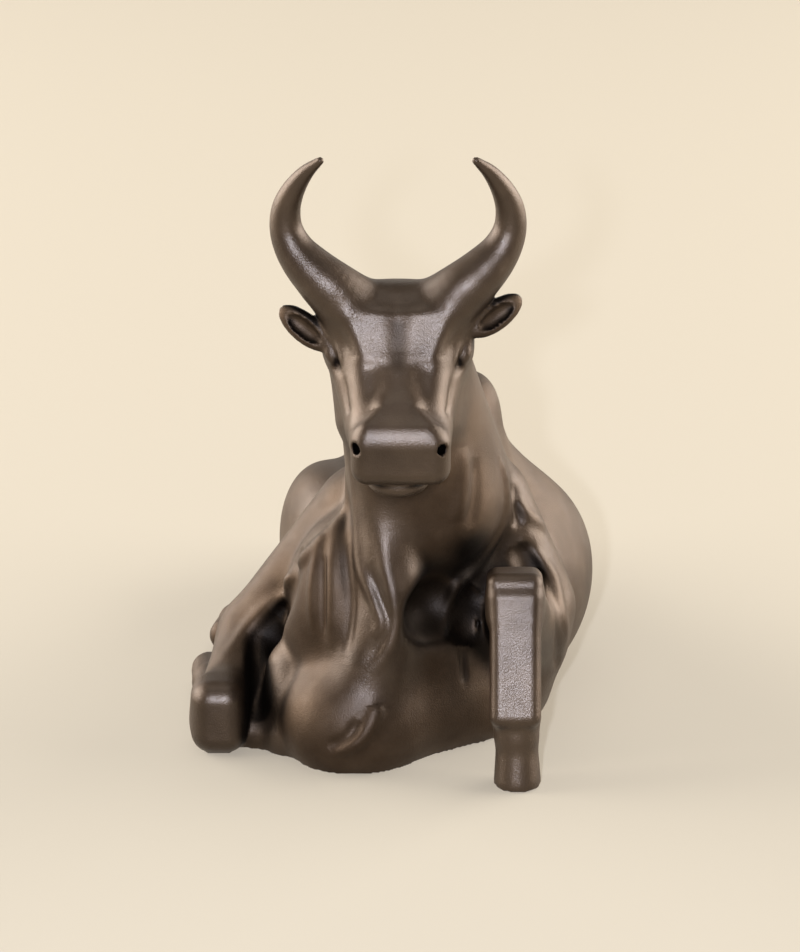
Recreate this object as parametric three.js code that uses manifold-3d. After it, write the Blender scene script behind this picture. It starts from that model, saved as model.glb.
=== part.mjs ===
import * as THREE from "three";
import { mergeVertices } from "three/addons/utils/BufferGeometryUtils.js";
import Module from "manifold-3d";

// A zebu bull that lies with its head up, looking straight ahead. It is cast in one piece and rests on its
// flat underside. The origin is on that underside, below the ribs; the face looks along -Y and +Z is up.
const FIGURE_HEIGHT = 200; // from the ground to the tips of the horns, in millimetres
const SURFACE_CELL = 2.0; // the grid on which the surface is followed, in millimetres
const FACETS = 9200; // about how many triangles the finished surface keeps

// The bull's own left is at +X, its face looks along -Y, and every place below is a share of its height.
const ORIGIN = [0.100, 0.550, 0.000]; // the point below the ribs where the part's own origin is
const HEAD_MIDDLE = -0.003; // where the middle of the head is across the figure
const HEAD_HALF_WIDTH = 0.114; // from the middle of the skull to its side
const HORN_BASE_RADIUS = 0.042; // the horn where it leaves the head
const HORN_HALF_SPREAD = 0.173; // from the middle of the head to the axis of a horn where it is farthest out
const EAR_THICKNESS = 0.026; // the leaf of an ear, before its front is hollowed
const HUMP_RISE = 0.088; // the hump's own half height
const RIB_HALF_WIDTH = 0.203; // the barrel of the ribs
const SHIN_HALF_WIDTH = 0.040; // the raised shin, seen from the front
const HOOF_RADIUS = 0.037; // the raised leg's hoof, at the ground
const KNEE_HALF_WIDTH = 0.044; // the knee of the folded foreleg
const TAIL_RADIUS = 0.014; // the tail at its thinnest

const wasm = await Module();
wasm.setup();

// A form is its signed distance at a point, with the box that holds its solid.

const FAR = 1e9;

function boxDistance(form, x, y, z) {
  const dx = Math.max(form.low[0] - x, x - form.high[0], 0);
  const dy = Math.max(form.low[1] - y, y - form.high[1], 0);
  const dz = Math.max(form.low[2] - z, z - form.high[2], 0);
  return Math.hypot(dx, dy, dz);
}

function boxAround(forms, margin) {
  const low = [0, 1, 2].map((i) => Math.min(...forms.map((f) => f.low[i])) - margin);
  const high = [0, 1, 2].map((i) => Math.max(...forms.map((f) => f.high[i])) + margin);
  return { low, high };
}

function turned(turn) {
  const [rx, ry, rz] = turn.map((angle) => THREE.MathUtils.degToRad(angle));
  const matrix = new THREE.Matrix4().makeRotationFromEuler(new THREE.Euler(rx, ry, rz, "ZYX"));
  const e = matrix.elements;
  return [
    [e[0], e[1], e[2]],
    [e[4], e[5], e[6]],
    [e[8], e[9], e[10]],
  ];
}

// An egg: an ellipsoid with its own turn about X, then Y, then Z, in degrees.
function egg(centre, radii, turn) {
  const axes = turned(turn);
  const reach = [0, 1, 2].map((i) => Math.hypot(...axes.map((axis, j) => axis[i] * radii[j])));
  function distance(x, y, z) {
    let near = 0;
    let steep = 0;
    for (let j = 0; j < 3; j++) {
      const a = axes[j];
      const q = (x - centre[0]) * a[0] + (y - centre[1]) * a[1] + (z - centre[2]) * a[2];
      near += (q / radii[j]) ** 2;
      steep += (q / radii[j] ** 2) ** 2;
    }
    near = Math.sqrt(near);
    return (near * (near - 1)) / Math.max(Math.sqrt(steep), 1e-9);
  }
  return {
    distance,
    low: centre.map((c, i) => c - reach[i]),
    high: centre.map((c, i) => c + reach[i]),
  };
}

// A rounded block; with a taper its top is that share wider than its middle, and its foot narrower.
function block(centre, half, rounding, turn, taper) {
  const axes = turned(turn);
  const grown = [half[0] * (1 + Math.abs(taper)), half[1], half[2]];
  const reach = [0, 1, 2].map(
    (i) => axes.reduce((sum, axis, j) => sum + Math.abs(axis[i]) * grown[j], 0) + rounding,
  );
  function distance(x, y, z) {
    const q = axes.map(
      (a) => (x - centre[0]) * a[0] + (y - centre[1]) * a[1] + (z - centre[2]) * a[2],
    );
    const widen = half[0] * taper * Math.min(Math.max(q[2] / half[2], -1), 1);
    const dx = Math.abs(q[0]) - half[0] - widen;
    const dy = Math.abs(q[1]) - half[1];
    const dz = Math.abs(q[2]) - half[2];
    const outside = Math.hypot(Math.max(dx, 0), Math.max(dy, 0), Math.max(dz, 0));
    return outside + Math.min(Math.max(dx, dy, dz), 0) - rounding;
  }
  return {
    distance,
    low: centre.map((c, i) => c - reach[i]),
    high: centre.map((c, i) => c + reach[i]),
  };
}

// A limb: a bar with round ends, of one radius at its start and another at its end.
function limb(a, b, ra, rb) {
  const length = Math.hypot(b[0] - a[0], b[1] - a[1], b[2] - a[2]);
  const along = [0, 1, 2].map((i) => (b[i] - a[i]) / length);
  const lean = (ra - rb) / length;
  const rise = Math.sqrt(Math.max(1 - lean * lean, 0));
  function distance(px, py, pz) {
    const qx = px - a[0];
    const qy = py - a[1];
    const qz = pz - a[2];
    const y = qx * along[0] + qy * along[1] + qz * along[2];
    const x = Math.sqrt(Math.max(qx * qx + qy * qy + qz * qz - y * y, 0));
    const k = y * rise - x * lean;
    if (k < 0) return Math.hypot(x, y) - ra;
    if (k > rise * length) return Math.hypot(x, y - length) - rb;
    return x * rise + y * lean - ra;
  }
  return {
    distance,
    low: [0, 1, 2].map((i) => Math.min(a[i] - ra, b[i] - rb)),
    high: [0, 1, 2].map((i) => Math.max(a[i] + ra, b[i] + rb)),
  };
}

// A smooth curve through the points, with every number that a point carries.
function spline(points, steps) {
  const last = points.length - 1;
  const before = points[0].map((v, i) => 2 * v - points[1][i]);
  const after = points[last].map((v, i) => 2 * v - points[last - 1][i]);
  const all = [before, ...points, after];
  const curve = [];
  for (let n = 1; n <= last; n++) {
    for (let step = 0; step < steps; step++) {
      const t = step / steps;
      const [a, b, c, d] = all.slice(n - 1, n + 3);
      curve.push(
        b.map(
          (v, i) =>
            0.5 *
            (2 * v +
              (c[i] - a[i]) * t +
              (2 * a[i] - 5 * v + 4 * c[i] - d[i]) * t * t +
              (3 * v - a[i] - 3 * c[i] + d[i]) * t * t * t),
        ),
      );
    }
  }
  curve.push(points[last]);
  return curve;
}

// A round bar along a smooth curve; each point is x, y, z and the radius there.
function tube(points, steps) {
  const line = spline(points, steps);
  const pieces = [];
  for (let i = 1; i < line.length; i++) {
    pieces.push(limb(line[i - 1], line[i], line[i - 1][3], line[i][3]));
  }
  function distance(x, y, z) {
    let d = FAR;
    for (const piece of pieces) {
      if (boxDistance(piece, x, y, z) <= Math.max(d, 0)) d = Math.min(d, piece.distance(x, y, z));
    }
    return d;
  }
  return { distance, ...boxAround(pieces, 0) };
}

function softMin(a, b, k) {
  const h = Math.max(k - Math.abs(a - b), 0) / k;
  return Math.min(a, b) - (h * h * h * k) / 6;
}

// Forms grown together, with a fillet about as wide as k.
function merge(k, ...forms) {
  function distance(x, y, z) {
    let d = forms[0].distance(x, y, z);
    for (let i = 1; i < forms.length; i++) {
      const near = boxDistance(forms[i], x, y, z) < Math.max(d, 0) + k;
      if (near) d = softMin(d, forms[i].distance(x, y, z), k);
    }
    return d;
  }
  return { distance, ...boxAround(forms, k / 6) };
}

// A form with a tool's shape taken out of it, its rim softened over k.
function carve(k, body, tool) {
  function distance(x, y, z) {
    const d = body.distance(x, y, z);
    if (boxDistance(tool, x, y, z) >= k - d) return d;
    return -softMin(-d, tool.distance(x, y, z), k);
  }
  return { distance, low: body.low, high: body.high };
}

// What of a form lies above a level.
function above(form, level) {
  function distance(x, y, z) {
    return Math.max(form.distance(x, y, z), level - z);
  }
  return { distance, low: [form.low[0], form.low[1], level], high: form.high };
}

// The place on the form's surface that is nearest to p, found by steps down its slope.
function onto(form, p, steps) {
  const step = 1e-4;
  let q = p.slice(0, 3);
  for (let round = 0; round < steps; round++) {
    const g = [0, 1, 2].map((i) => {
      const more = q.map((v, j) => (i === j ? v + step : v));
      const less = q.map((v, j) => (i === j ? v - step : v));
      return (form.distance(...more) - form.distance(...less)) / (2 * step);
    });
    const d = form.distance(...q);
    const g2 = Math.max(g[0] ** 2 + g[1] ** 2 + g[2] ** 2, 1e-6);
    q = q.map((v, i) => v - (d * g[i]) / g2);
  }
  return q;
}

// A ridge, or a groove where height is below 0, along a curve laid on the form; each point is x, y, z and
// the width there.
function stroke(form, points, height) {
  const line = spline(points, 6).map((p) => [...onto(form, p, 4), p[3]]);
  const reach = 2.4 * Math.max(...line.map((p) => p[3]));
  const low = [0, 1, 2].map((i) => Math.min(...line.map((p) => p[i])) - reach);
  const high = [0, 1, 2].map((i) => Math.max(...line.map((p) => p[i])) + reach);
  const strength = line.map((p, i) => {
    const end = Math.min(i, line.length - 1 - i) / (line.length - 1);
    return height * Math.min(1, end * 4 + 0.15);
  });
  function rise(x, y, z) {
    if (x <= low[0] || y <= low[1] || z <= low[2]) return 0;
    if (x >= high[0] || y >= high[1] || z >= high[2]) return 0;
    let best = FAR;
    let power = 0;
    for (let i = 1; i < line.length; i++) {
      const u = line[i - 1];
      const v = line[i];
      const ax = v[0] - u[0];
      const ay = v[1] - u[1];
      const az = v[2] - u[2];
      const across = (x - u[0]) * ax + (y - u[1]) * ay + (z - u[2]) * az;
      const t = Math.min(Math.max(across / Math.max(ax * ax + ay * ay + az * az, 1e-12), 0), 1);
      const width = u[3] + (v[3] - u[3]) * t;
      const off = (x - u[0] - t * ax) ** 2 + (y - u[1] - t * ay) ** 2 + (z - u[2] - t * az) ** 2;
      if (off / width ** 2 < best) {
        best = off / width ** 2;
        power = strength[i - 1] + (strength[i] - strength[i - 1]) * t;
      }
    }
    return power * Math.exp(-best);
  }
  return rise;
}

// A stroke of one width whose points give only x and z: each lies where the form is first met on the way
// back from y = start.
function fold(form, start, height, width, ...points) {
  const line = points.map(([x, z]) => {
    let y = start;
    for (let step = 0; step < 60; step++) {
      const d = form.distance(x, y, z);
      if (d < 1e-4) break;
      y += d * 0.8;
    }
    return [x, y, z, width];
  });
  return stroke(form, line, height);
}

// The form with its ridges and grooves.
function drawn(form, ...groups) {
  const strokes = groups.flat();
  function distance(x, y, z) {
    return strokes.reduce((d, rise) => d - rise(x, y, z), form.distance(x, y, z));
  }
  return { distance, ...boxAround([form], 0.01) };
}

// A place on the head, at the distance x from its middle, on its right (s = -1) or its left (s = 1).
function place(s, x, y, z) {
  return [HEAD_MIDDLE + s * x, y, z];
}

// The same with a radius, for the points of a tube.
function ring(s, x, y, z, radius) {
  return [HEAD_MIDDLE + s * x, y, z, radius];
}

// One horn: it leaves the poll sideways, swings out and up, and comes in again to a point.
function horn(s) {
  const r = HORN_BASE_RADIUS;
  const w = HORN_HALF_SPREAD;
  return tube([ring(s, 0.000, 0.190, 0.738, r * 0.60), ring(s, 0.050, 0.186, 0.751, r * 0.76),
    ring(s, 0.098, 0.169, 0.778, r), ring(s, 0.130, 0.172, 0.805, r * 0.90),
    ring(s, w - 0.016, 0.178, 0.835, r * 0.74), ring(s, w - 0.001, 0.180, 0.868, r * 0.62),
    ring(s, w, 0.174, 0.903, r * 0.54), ring(s, w - 0.011, 0.160, 0.937, r * 0.43),
    ring(s, w - 0.031, 0.142, 0.970, r * 0.29), ring(s, w - 0.054, 0.124, 0.994, 0.006)], 4);
}

// One ear: a leaf that points out and up, and the hollow of its front.
function ear(s, form, x, z, length, lean) {
  const turn = [-14, -s * lean, s * 20];
  const leaf = egg(place(s, x, 0.1685, z), [length * 0.56, EAR_THICKNESS / 2, 0.023], turn);
  const cup = egg(place(s, x + 0.002, 0.1555, z + 0.002), [length * 0.40, EAR_THICKNESS / 2, 0.0140], turn);
  return carve(0.005, merge(0.014, form, leaf), cup);
}

// The head: skull, the flat forehead that narrows into the nasal bone, muzzle, jaws, chin and horns.
function head() {
  const skull = egg([HEAD_MIDDLE, 0.208, 0.692], [HEAD_HALF_WIDTH, 0.090, 0.088], [0, 0, 0]);
  const forehead = block([HEAD_MIDDLE, 0.152, 0.705], [0.060, 0.022, 0.030], 0.020, [-19, 0, 0], 0.20);
  const nasalBone = limb([HEAD_MIDDLE, 0.156, 0.702], [HEAD_MIDDLE, 0.0915, 0.616], 0.036, 0.036);
  const muzzle = block([HEAD_MIDDLE + 0.004, 0.0655, 0.552], [0.050, 0.024, 0.020], 0.027, [8, 0, 0], 0);
  const chin = egg([HEAD_MIDDLE, 0.102, 0.499], [0.052, 0.060, 0.030], [8, 0, 0]);
  const nose = block([HEAD_MIDDLE, 0.0585, 0.593], [0.031, 0.014, 0.016], 0.016, [-45, 0, 0], -0.4);
  const poll = egg([HEAD_MIDDLE, 0.190, 0.708], [0.105, 0.072, 0.072], [0, 0, 0]);
  const face = block([HEAD_MIDDLE, 0.136, 0.6155], [0.046, 0.030, 0.050], 0.032, [-34, 0, 0], 0.12);
  let form = merge(0.030, merge(0.020, skull, poll, face, forehead), nasalBone);
  form = merge(0.034, form, nose, muzzle);
  for (const s of [-1, 1]) {
    const temple = limb(place(s, 0.080, 0.175, 0.745), place(s, 0.080, 0.170, 0.680), 0.040, 0.034);
    const jaw = limb(place(s, 0.058, 0.205, 0.670), place(s, 0.048, 0.180, 0.570), 0.052, 0.050);
    const cheek = limb(place(s, 0.076, 0.172, 0.680), place(s, 0.050, 0.112, 0.575), 0.032, 0.030);
    form = merge(0.03, form, temple, jaw, cheek);
  }
  return merge(0.046, merge(0.010, form, chin), merge(0.002, horn(-1), horn(1)));
}

// What is cut into the head and set on it: the eyes in their sockets, the nostrils, the ears.
function features(form) {
  for (const s of [-1, 1]) {
    const aslant = [0, s * 24, s * 30];
    const socket = egg(place(s, 0.109, 0.128, 0.681), [0.012, 0.026, 0.029], aslant);
    const eye = egg(place(s, 0.099, 0.157, 0.678), [0.013, 0.018, 0.022], aslant);
    const nostril = egg(place(s, 0.063, 0.026, 0.565), [0.008, 0.018, 0.009], [0, s * 20, s * 30]);
    form = merge(0.006, carve(0.020, form, socket), eye);
    form = carve(0.008, form, nostril);
  }
  form = ear(-1, form, 0.145, 0.716, 0.089, 36);
  return ear(1, form, 0.152, 0.736, 0.088, 33);
}

// The trunk lies in a shallow curve, with the withers to the left and the rump back in the middle.
function trunk() {
  const ribs = egg([0.114, 0.560, 0.165], [RIB_HALF_WIDTH, 0.330, 0.200], [-9, 0, -6]);
  const shoulders = egg([0.040, 0.400, 0.240], [0.170, 0.165, 0.235], [0, 0, 0]);
  const withers = limb([0.095, 0.470, 0.395], [0.170, 0.590, 0.210], 0.088, 0.130);
  const rump = egg([0.005, 0.930, 0.080], [0.175, 0.230, 0.205], [0, 0, 18]);
  const spine = tube([[0.090, 0.480, 0.430, 0.035], [0.105, 0.600, 0.345, 0.030],
    [0.085, 0.740, 0.300, 0.030], [0.050, 0.880, 0.278, 0.030],
    [0.015, 1.020, 0.245, 0.028], [0.000, 1.110, 0.185, 0.024]], 4);
  const rightHaunch = egg([-0.092, 0.890, 0.070], [0.108, 0.220, 0.190], [0, -10, 14]);
  const leftHaunch = egg([0.085, 0.930, 0.075], [0.105, 0.200, 0.165], [0, 10, 10]);
  const hump = egg([0.098, 0.430, 0.480], [0.062, 0.085, HUMP_RISE], [-16, 16, 0]);
  let form = merge(0.05, merge(0.08, ribs, shoulders, withers, rump), spine);
  form = merge(0.04, form, rightHaunch, leftHaunch);
  for (const x of [-0.070, 0.140]) {
    const hip = egg([x, 0.820, 0.235], [0.026, 0.036, 0.026], [0, 0, 0]);
    form = merge(0.05, form, hip);
  }
  return merge(0.08, form, hump);
}

// The thick neck, the chest and the brisket that rests on the ground, with the dewlap down their front.
function front() {
  const neck = limb([0.050, 0.330, 0.420], [0.010, 0.235, 0.640], 0.125, 0.100);
  const throat = limb([0.040, 0.270, 0.400], [0.000, 0.210, 0.540], 0.120, 0.090);
  const chest = egg([-0.020, 0.290, 0.160], [0.165, 0.150, 0.240], [12, -14, 0]);
  const brisket = egg([-0.070, 0.190, 0.060], [0.120, 0.110, 0.110], [0, 0, 20]);
  const keel = limb([0.100, 0.300, 0.070], [-0.060, 0.180, 0.060], 0.100, 0.080);
  const dewlap = tube([[-0.020, 0.188, 0.490, 0.042], [-0.026, 0.188, 0.420, 0.044],
    [-0.018, 0.172, 0.340, 0.048], [-0.010, 0.158, 0.270, 0.052],
    [-0.034, 0.160, 0.180, 0.060], [-0.060, 0.166, 0.090, 0.070]], 4);
  const flank = limb([-0.168, 0.262, 0.118], [-0.168, 0.220, 0.022], 0.047, 0.056);
  const recess = egg([0.062, 0.150, 0.256], [0.058, 0.072, 0.050], [0, 0, 0]);
  const form = merge(0.03, merge(0.05, neck, throat, chest, brisket, keel, dewlap), flank);
  return carve(0.045, form, recess);
}

// The left foreleg stands on its hoof, with the knee raised and a flat front to the shin.
function raisedLeg() {
  const flat = SHIN_HALF_WIDTH * 0.6;
  const upperArm = limb([0.150, 0.350, 0.380], [0.210, 0.340, 0.200], 0.060, 0.075);
  const forearm = limb([0.200, 0.330, 0.140], [0.184, 0.150, 0.275], 0.072, 0.042);
  const shin = block([0.181, 0.076, 0.205], [flat, 0.020, 0.092], SHIN_HALF_WIDTH - flat, [-17, 0, 0], 0);
  const knee = block([0.180, 0.115, 0.292], [flat + 0.003, 0.022, 0.026], 0.017, [-8, 0, 0], 0);
  const fetlock = egg([0.183, 0.056, 0.090], [0.035, 0.036, 0.036], [0, 0, 0]);
  const hoof = limb([0.184, 0.056, 0.070], [0.185, 0.050, 0.010], HOOF_RADIUS * 0.88, HOOF_RADIUS);
  const form = merge(0.03, merge(0.025, shin, knee, fetlock), forearm);
  const elbow = egg([0.188, 0.350, 0.075], [0.062, 0.085, 0.085], [0, 0, 0]);
  return merge(0.05, merge(0.02, form, hoof), upperArm, elbow);
}

// The right foreleg is folded under, so that it rests on the knee with the hoof turned back.
function foldedLeg() {
  const upperArm = limb([-0.060, 0.360, 0.350], [-0.226, 0.395, 0.140], 0.078, 0.062);
  const forearm = limb([-0.235, 0.400, 0.110], [-0.284, 0.225, 0.070], 0.066, 0.044);
  const round = KNEE_HALF_WIDTH * 0.75;
  const knee = block([-0.291, 0.212, 0.060], [KNEE_HALF_WIDTH - round, 0.013, 0.028], round, [0, 0, 0], 0);
  const shin = limb([-0.296, 0.230, 0.040], [-0.310, 0.420, 0.035], 0.038, 0.030);
  const hoof = limb([-0.312, 0.430, 0.030], [-0.318, 0.490, 0.030], 0.032, 0.030);
  const web = limb([-0.215, 0.330, 0.060], [-0.232, 0.240, 0.028], 0.055, 0.045);
  const form = merge(0.05, merge(0.015, merge(0.03, forearm, knee, shin), hoof), upperArm);
  return merge(0.015, form, web);
}

// The right hind leg is folded against the flank, its hoof beside the belly.
function hindLeg() {
  const thigh = limb([-0.100, 0.930, 0.100], [-0.182, 0.730, 0.050], 0.090, 0.062);
  const shank = limb([-0.185, 0.720, 0.045], [-0.175, 0.960, 0.045], 0.050, 0.040);
  const shin = limb([-0.185, 0.960, 0.036], [-0.282, 0.740, 0.030], 0.034, 0.027);
  const hoof = limb([-0.284, 0.730, 0.026], [-0.296, 0.665, 0.028], 0.029, 0.029);
  return merge(0.015, merge(0.03, thigh, shank, shin), hoof);
}

// The tail falls from the rump to the ground and curls round it to a tuft.
function tail() {
  const r = TAIL_RADIUS;
  return tube([[0.000, 1.100, 0.190, r + 0.008], [0.012, 1.152, 0.120, r + 0.003], [0.010, 1.166, 0.055, r],
    [-0.030, 1.170, 0.022, r], [-0.090, 1.150, 0.018, r + 0.002], [-0.150, 1.105, 0.020, r + 0.008],
    [-0.200, 1.050, 0.018, r + 0.004], [-0.228, 1.005, 0.012, r / 2]], 4);
}

// The dewlap's long crease, the skin on both sides of it, and the roll of skin at its foot.
function dewlapFolds(form) {
  return [
    fold(form, 0, -0.009, 0.012, [-0.042, 0.350], [-0.034, 0.300], [-0.020, 0.256], [-0.034, 0.213],
      [-0.056, 0.178]),
    fold(form, 0, 0.007, 0.010, [-0.079, 0.475], [-0.066, 0.347], [-0.040, 0.283], [-0.029, 0.250],
      [-0.042, 0.224]),
    fold(form, 0, 0.006, 0.014, [-0.028, 0.392], [-0.022, 0.340], [-0.011, 0.296], [-0.008, 0.250],
      [-0.020, 0.210], [-0.049, 0.170]),
    fold(form, 0, 0.012, 0.012, [-0.044, 0.121], [-0.040, 0.103], [-0.060, 0.070], [-0.105, 0.040]),
    fold(form, 0, -0.008, 0.010, [-0.064, 0.098], [-0.082, 0.068], [-0.115, 0.050]),
  ];
}

// The upright folds on the right of the chest, and the shoulder's edge with the hollows on both sides of it.
function rightFolds(form) {
  return [
    fold(form, 0, 0.007, 0.012, [-0.087, 0.457], [-0.098, 0.377], [-0.106, 0.281], [-0.110, 0.190]),
    fold(form, 0, 0.006, 0.009, [-0.118, 0.360], [-0.131, 0.335], [-0.138, 0.212]),
    fold(form, 0, -0.022, 0.025, [-0.158, 0.327], [-0.182, 0.253], [-0.205, 0.190]),
    fold(form, 0, 0.010, 0.013, [-0.092, 0.382], [-0.140, 0.335], [-0.185, 0.256], [-0.236, 0.175],
      [-0.282, 0.135]),
    fold(form, 0, -0.014, 0.012, [-0.236, 0.150], [-0.232, 0.100], [-0.232, 0.050]),
  ];
}

// The edge of the left shoulder, the fold from there to the chest, and the deep hollow under that fold.
function leftFolds(form) {
  return [
    fold(form, 0, 0.009, 0.010, [0.160, 0.470], [0.170, 0.410], [0.177, 0.350]),
    fold(form, 0, -0.008, 0.011, [0.180, 0.420], [0.187, 0.380], [0.191, 0.345]),
    fold(form, 0, 0.010, 0.011, [0.169, 0.408], [0.158, 0.352], [0.122, 0.300], [0.092, 0.272],
      [0.074, 0.232]),
    fold(form, 0, -0.026, 0.022, [0.124, 0.265], [0.106, 0.228], [0.103, 0.181]),
  ];
}

// The hollow above the raised knee, and the folds of the left upper arm; most of them lie behind the shin.
function armFolds(form) {
  const behindShin = 0.22;
  return [
    fold(form, behindShin, -0.018, 0.018, [0.189, 0.323], [0.207, 0.286], [0.228, 0.233]),
    fold(form, behindShin, 0.007, 0.011, [0.204, 0.317], [0.247, 0.263], [0.261, 0.208], [0.267, 0.141]),
    fold(form, behindShin, -0.009, 0.008, [0.250, 0.205], [0.255, 0.150], [0.257, 0.105]),
    fold(form, 0, 0.006, 0.011, [0.179, 0.405], [0.206, 0.365], [0.236, 0.330]),
  ];
}

// The whole animal, as one solid.
function bull() {
  let whole = merge(0.035, merge(0.04, trunk(), front()), raisedLeg(), foldedLeg());
  whole = merge(0.016, merge(0.025, whole, hindLeg()), tail());
  whole = merge(0.035, whole, head());
  return features(drawn(whole, dewlapFolds(whole), rightFolds(whole), leftFolds(whole), armFolds(whole)));
}

// Distances on a grid of cells of the given size. They are worked out only in blocks that the surface may
// pass through; the rest of the grid only knows whether it is inside or outside.
function sampled(form, cell) {
  const BLOCK = 6;
  const start = form.low.map((v) => v - 2.5 * cell);
  const blocks = [0, 1, 2].map((i) => Math.ceil((form.high[i] + 2.5 * cell - start[i]) / cell / BLOCK));
  const size = blocks.map((n) => n * BLOCK + 1);
  const values = new Float32Array(size[0] * size[1] * size[2]).fill(1);
  const reach = (BLOCK * cell * Math.sqrt(3)) / 2 + 0.02;
  const at = (i, j, k) => (i * size[1] + j) * size[2] + k;
  const known = new Uint8Array(values.length);
  for (let bi = 0; bi < blocks[0]; bi++) {
    for (let bj = 0; bj < blocks[1]; bj++) {
      for (let bk = 0; bk < blocks[2]; bk++) {
        const middle = [bi, bj, bk].map((b, i) => start[i] + (b + 0.5) * BLOCK * cell);
        const d = form.distance(...middle);
        const near = Math.abs(d) < reach;
        const last = near ? BLOCK : BLOCK - 1;
        for (let i = bi * BLOCK; i <= bi * BLOCK + last; i++) {
          for (let j = bj * BLOCK; j <= bj * BLOCK + last; j++) {
            for (let k = bk * BLOCK; k <= bk * BLOCK + last; k++) {
              const n = at(i, j, k);
              if (known[n]) continue;
              if (near) {
                const value = form.distance(start[0] + i * cell, start[1] + j * cell, start[2] + k * cell);
                const least = 0.02 * cell;
                values[n] = Math.abs(value) < least ? (value < 0 ? -least : least) : value;
                known[n] = 1;
              } else {
                values[n] = d < 0 ? -1 : 1;
              }
            }
          }
        }
      }
    }
  }
  return { values, size, start, cell, at };
}

// The surface between the grid's inside and outside: each cell is split into six tetrahedra, and each of
// those gives one or two triangles.
function traced(grid) {
  const { values, size, start, cell, at } = grid;
  const corners = [1, 2, 4].flatMap((a) => [1, 2, 4].filter((b) => b !== a).map((b) => [0, a, a | b, 7]));
  const positions = [];
  const faces = [];
  const made = new Map();
  const place = (i, j, k, corner) => [i + (corner & 1), j + ((corner >> 1) & 1), k + (corner >> 2)];
  function vertex(i, j, k, a, b) {
    const p = place(i, j, k, Math.min(a, b));
    const q = place(i, j, k, Math.max(a, b));
    const key = at(...p) * 8 + (a ^ b);
    if (made.has(key)) return made.get(key);
    const vp = values[at(...p)];
    const vq = values[at(...q)];
    const t = vp / (vp - vq);
    for (let axis = 0; axis < 3; axis++) {
      positions.push(start[axis] + (p[axis] + (q[axis] - p[axis]) * t) * cell);
    }
    made.set(key, positions.length / 3 - 1);
    return positions.length / 3 - 1;
  }
  const point = (n) => new THREE.Vector3(positions[3 * n], positions[3 * n + 1], positions[3 * n + 2]);
  function face(a, b, c, outward) {
    const normal = point(b).sub(point(a)).cross(point(c).sub(point(a)));
    faces.push(...(normal.dot(outward) < 0 ? [a, c, b] : [a, b, c]));
  }
  const middle = (list) =>
    list
      .map((corner) => new THREE.Vector3(...place(0, 0, 0, corner)))
      .reduce((sum, v) => sum.add(v), new THREE.Vector3())
      .divideScalar(list.length);
  for (let i = 0; i < size[0] - 1; i++) {
    for (let j = 0; j < size[1] - 1; j++) {
      for (let k = 0; k < size[2] - 1; k++) {
        let below = 0;
        for (let corner = 0; corner < 8; corner++) {
          if (values[at(...place(i, j, k, corner))] < 0) below++;
        }
        if (below === 0 || below === 8) continue;
        for (const tetra of corners) {
          const inside = tetra.filter((corner) => values[at(...place(i, j, k, corner))] < 0);
          const outside = tetra.filter((corner) => !inside.includes(corner));
          if (!inside.length || !outside.length) continue;
          const outward = middle(outside).sub(middle(inside));
          if (inside.length === 2) {
            const ring = [
              vertex(i, j, k, inside[0], outside[0]),
              vertex(i, j, k, inside[0], outside[1]),
              vertex(i, j, k, inside[1], outside[1]),
              vertex(i, j, k, inside[1], outside[0]),
            ];
            face(ring[0], ring[1], ring[2], outward);
            face(ring[0], ring[2], ring[3], outward);
          } else {
            const [single] = inside.length === 1 ? inside : outside;
            const others = inside.length === 1 ? outside : inside;
            const ring = others.map((corner) => vertex(i, j, k, single, corner));
            face(ring[0], ring[1], ring[2], outward);
          }
        }
      }
    }
  }
  return { positions, faces };
}

// The surface with its vertices spread evenly over the form: each goes halfway to the middle of its
// neighbours, and from there back onto the form.
function evened(surface, form, rounds) {
  const positions = surface.positions.slice();
  const near = new Map();
  surface.faces.forEach((v, i) => {
    if (!near.has(v)) near.set(v, new Set());
    near.get(v).add(surface.faces[i - (i % 3) + ((i + 1) % 3)]);
  });
  for (let round = 0; round < rounds; round++) {
    const before = positions.slice();
    for (const [v, ring] of near) {
      const spot = [0, 1, 2].map((axis) => {
        let sum = 0;
        for (const n of ring) sum += before[3 * n + axis];
        return (before[3 * v + axis] + sum / ring.size) / 2;
      });
      onto(form, spot, 1).forEach((value, axis) => (positions[3 * v + axis] = value));
    }
  }
  return { positions, faces: surface.faces };
}

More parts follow.
